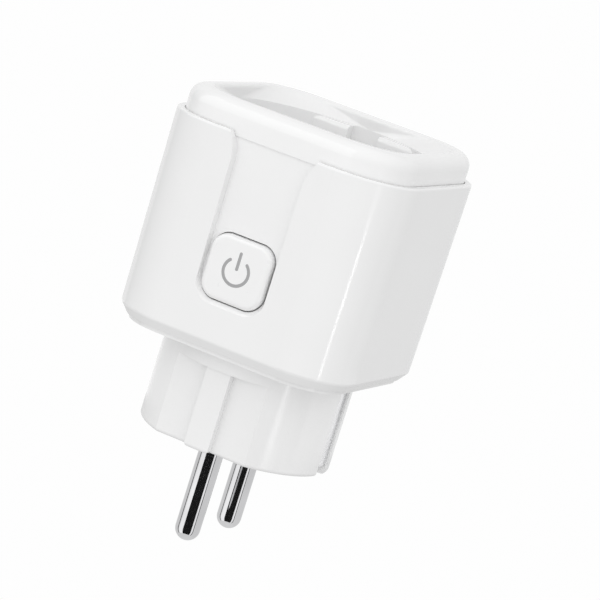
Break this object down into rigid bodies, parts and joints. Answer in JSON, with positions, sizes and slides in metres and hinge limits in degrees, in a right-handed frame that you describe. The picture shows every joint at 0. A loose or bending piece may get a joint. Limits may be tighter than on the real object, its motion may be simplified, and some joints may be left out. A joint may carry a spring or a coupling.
{
  "type": "smart plug",
  "caption": "Switched plug-through adaptor: round two-pin plug nose below, round earthed socket above, push button with a power symbol on the front face.",
  "frame": {"origin": "centre of the plug nose's end face, where the pins come out", "axes": "+Z from the pins towards the socket, button faces -Y, pins on the Y axis, side earth contacts on the X axis"},
  "size_m": [0.0496, 0.0496, 0.0839],
  "materials": {
    "shell_plastic": "satin white moulding",
    "cap_plastic": "polished white moulding",
    "button_plastic": "polished white moulding",
    "symbol_ink": "mid-grey inlay",
    "pin_nickel": "nickel plated, polished",
    "earth_metal": "tin-plated spring strip",
    "contact_brass": "bare stamped brass",
    "screw_steel": "zinc plated",
    "carrier_plastic": "flame-retardant white moulding",
    "spring_steel": "spring wire",
    "board_laminate": "green solder mask",
    "relay_plastic": "black moulding",
    "ferrite": "sintered ferrite",
    "winding_tape": "yellow winding tape",
    "copper_wire": "enamelled copper",
    "can_sleeve": "sleeved aluminium can",
    "film_box": "potted grey box",
    "varistor_coat": "blue epoxy coat",
    "fuse_ceramic": "ceramic",
    "chip_epoxy": "black epoxy",
    "shield_metal": "tinned sheet",
    "lamp_clear": "clear moulding"
  },
  "bodies": {
    "root": {"outer_shell": "shell_plastic", "plug_base": "shell_plastic", "socket_cap": "cap_plastic", "live_pin": "pin_nickel", "neutral_pin": "pin_nickel", "pin_clamp_plate": "carrier_plastic", "pin_clamp_screws": "screw_steel", "earth_pin_socket": "contact_brass", "earth_bridge": "contact_brass", "earth_strap_left": "earth_metal", "earth_strap_right": "earth_metal", "earth_clip_left": "earth_metal", "earth_clip_right": "earth_metal", "live_contact": "contact_brass", "neutral_contact": "contact_brass", "contact_carrier": "carrier_plastic", "carrier_screws": "screw_steel", "shutter_spring": "spring_steel", "board_screws": "screw_steel", "main_board": "board_laminate", "relay_base": "relay_plastic", "relay_case": "relay_plastic", "transformer_core": "ferrite", "transformer_winding": "winding_tape", "bulk_capacitor": "can_sleeve", "filter_capacitor": "can_sleeve", "film_capacitor": "film_box", "varistor": "varistor_coat", "input_fuse": "fuse_ceramic", "choke_core": "ferrite", "choke_winding": "copper_wire", "metering_chip": "chip_epoxy", "current_shunt": "contact_brass", "wifi_board": "board_laminate", "rf_shield": "shield_metal", "button_board": "board_laminate", "switch_body": "relay_plastic", "indicator_led": "lamp_clear", "light_guide": "lamp_clear"},
    "button": {"button": "button_plastic", "power_symbol": "symbol_ink"},
    "plunger": {"switch_plunger": "relay_plastic"},
    "shutter": {"safety_shutter": "carrier_plastic"}
  },
  "joints": [
    {"name": "button_press", "type": "slide", "parent": "root", "child": "button", "axis": [0, 1, 0], "range_m": [0, 0.00035], "stiffness_N_per_m": 3000, "springref_m": -0.0002},
    {"name": "switch_press", "type": "slide", "parent": "root", "child": "plunger", "axis": [0, 1, 0], "range_m": [0, 0.00035]},
    {"name": "shutter_turn", "type": "hinge", "parent": "root", "child": "shutter", "pos_m": [0, 0, 0.0444], "axis": [0, 0, 1], "range_deg": [0, 42], "stiffness_Nm_per_rad": 0.002, "springref_deg": -5.73}
  ],
  "couplings": [
    {"joint": "switch_press", "follows": "button_press", "ratio": 1}
  ]
}
